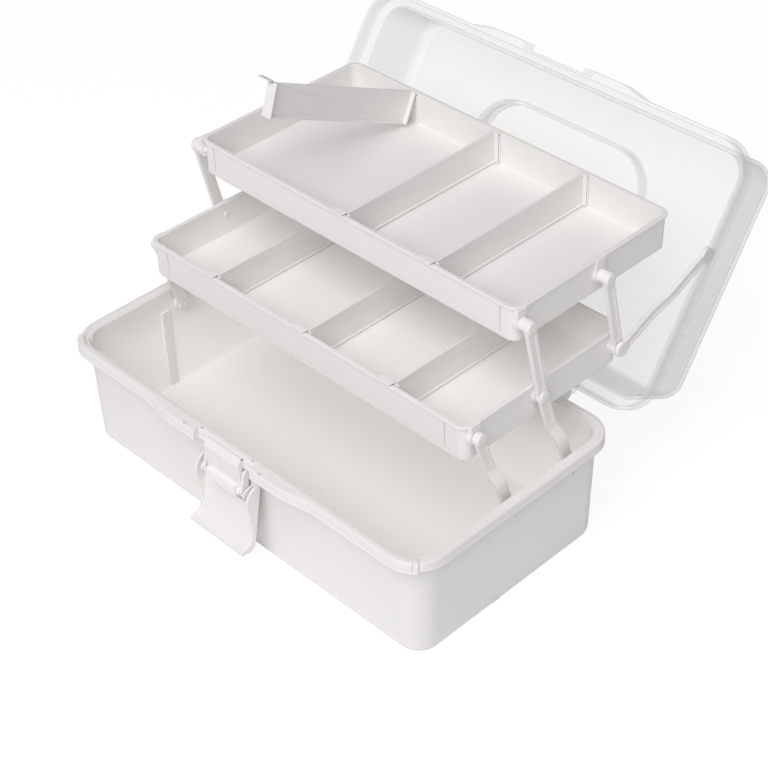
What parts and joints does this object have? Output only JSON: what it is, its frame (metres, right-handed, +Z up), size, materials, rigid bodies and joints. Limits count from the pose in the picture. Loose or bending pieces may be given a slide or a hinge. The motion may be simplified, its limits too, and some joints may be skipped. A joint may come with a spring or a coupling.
{
  "type": "cantilever storage case",
  "caption": "Oblong storage case with a clear hinged lid, a fold-down handle, a front latch and trays that spread out on arms as the lid opens.",
  "frame": {"origin": "centre of the tub's flat underside", "axes": "+X along the case to its right as seen from the front, +Y from the latch at the front to the hinges at the back, +Z up"},
  "size_m": [0.33, 0.3533, 0.257],
  "materials": {
    "white_plastic": "satin white moulded plastic",
    "clear_shell": "clear polished moulded plastic"
  },
  "bodies": {
    "base": {"base_tub": "white_plastic"},
    "lid": {"lid": "clear_shell"},
    "handle": {"handle": "clear_shell"},
    "latch": {"latch": "white_plastic"},
    "lower_tray": {"lower_tray": "white_plastic"},
    "upper_tray": {"upper_tray": "white_plastic"},
    "front_arms": {"front_arm_left": "white_plastic", "front_arm_right": "white_plastic"},
    "long_arms": {"long_arm_left": "white_plastic", "long_arm_right": "white_plastic"},
    "rear_arms": {"rear_arm_left": "white_plastic", "rear_arm_right": "white_plastic"},
    "lid_links": {"lid_link_left": "white_plastic", "lid_link_right": "white_plastic"},
    "lower_divider_left": {"lower_divider_left": "white_plastic"},
    "lower_divider_middle": {"lower_divider_middle": "white_plastic"},
    "lower_divider_right": {"lower_divider_right": "white_plastic"},
    "upper_divider_left": {"upper_divider_left": "white_plastic"},
    "upper_divider_middle": {"upper_divider_middle": "white_plastic"},
    "upper_divider_right": {"upper_divider_right": "white_plastic"}
  },
  "joints": [
    {"name": "lid_hinge", "type": "hinge", "parent": "base", "child": "lid", "pos_m": [0, 0.0964, 0.0762], "axis": [-1, 0, 0], "range_deg": [-122.8, 0]},
    {"name": "long_arm_pivot", "type": "hinge", "parent": "base", "child": "long_arms", "pos_m": [0, 0.0555, 0.0668], "axis": [-1, 0, 0], "range_deg": [-52.5, 0]},
    {"name": "front_arm_pivot", "type": "hinge", "parent": "base", "child": "front_arms", "pos_m": [0, 0.0008, 0.0668], "axis": [-1, 0, 0], "range_deg": [-52.5, 0]},
    {"name": "lower_tray_pivot", "type": "hinge", "parent": "long_arms", "child": "lower_tray", "pos_m": [0, 0.03478, 0.12946], "axis": [-1, 0, 0], "range_deg": [0, 52.5]},
    {"name": "upper_tray_pivot", "type": "hinge", "parent": "long_arms", "child": "upper_tray", "pos_m": [0, 0.02145, 0.18719], "axis": [-1, 0, 0], "range_deg": [0, 52.5]},
    {"name": "rear_arm_pivot", "type": "hinge", "parent": "lower_tray", "child": "rear_arms", "pos_m": [0, 0.10398, 0.12776], "axis": [-1, 0, 0], "range_deg": [-52.5, 0]},
    {"name": "lid_link_pivot", "type": "hinge", "parent": "lower_tray", "child": "lid_links", "pos_m": [0, 0.10398, 0.12776], "axis": [-1, 0, 0], "range_deg": [-147.1, 0]},
    {"name": "raised_divider_pivot", "type": "hinge", "parent": "upper_tray", "child": "upper_divider_left", "pos_m": [0, 0.1547, 0.19699], "axis": [-1, 0, 0], "range_deg": [-25, 0]},
    {"name": "latch_hinge", "type": "hinge", "parent": "base", "child": "latch", "pos_m": [0, -0.0936, 0.057], "axis": [1, 0, 0], "range_deg": [-170, 0]},
    {"name": "handle_hinge", "type": "hinge", "parent": "lid", "child": "handle", "pos_m": [0, 0.19914, 0.12467], "axis": [1, 0, 0], "range_deg": [0, 90]},
    {"name": "lower_divider_left_lift", "type": "slide", "parent": "lower_tray", "child": "lower_divider_left", "axis": [0, 0, 1], "range_m": [0, 0.025]},
    {"name": "lower_divider_middle_lift", "type": "slide", "parent": "lower_tray", "child": "lower_divider_middle", "axis": [0, 0, 1], "range_m": [0, 0.025]},
    {"name": "lower_divider_right_lift", "type": "slide", "parent": "lower_tray", "child": "lower_divider_right", "axis": [0, 0, 1], "range_m": [0, 0.025]},
    {"name": "upper_divider_middle_lift", "type": "slide", "parent": "upper_tray", "child": "upper_divider_middle", "axis": [0, 0, 1], "range_m": [0, 0.025]},
    {"name": "upper_divider_right_lift", "type": "slide", "parent": "upper_tray", "child": "upper_divider_right", "axis": [0, 0, 1], "range_m": [0, 0.025]}
  ],
  "couplings": [
    {"joint": "long_arm_pivot", "follows": "lid_hinge", "ratio": 0.42727},
    {"joint": "front_arm_pivot", "follows": "lid_hinge", "ratio": 0.42727},
    {"joint": "lower_tray_pivot", "follows": "lid_hinge", "ratio": -0.42727},
    {"joint": "upper_tray_pivot", "follows": "lid_hinge", "ratio": -0.42727},
    {"joint": "rear_arm_pivot", "follows": "lid_hinge", "ratio": 0.42727},
    {"joint": "lid_link_pivot", "follows": "lid_hinge", "ratio": 1.1974},
    {"joint": "raised_divider_pivot", "follows": "lid_hinge", "ratio": 0.20358}
  ]
}
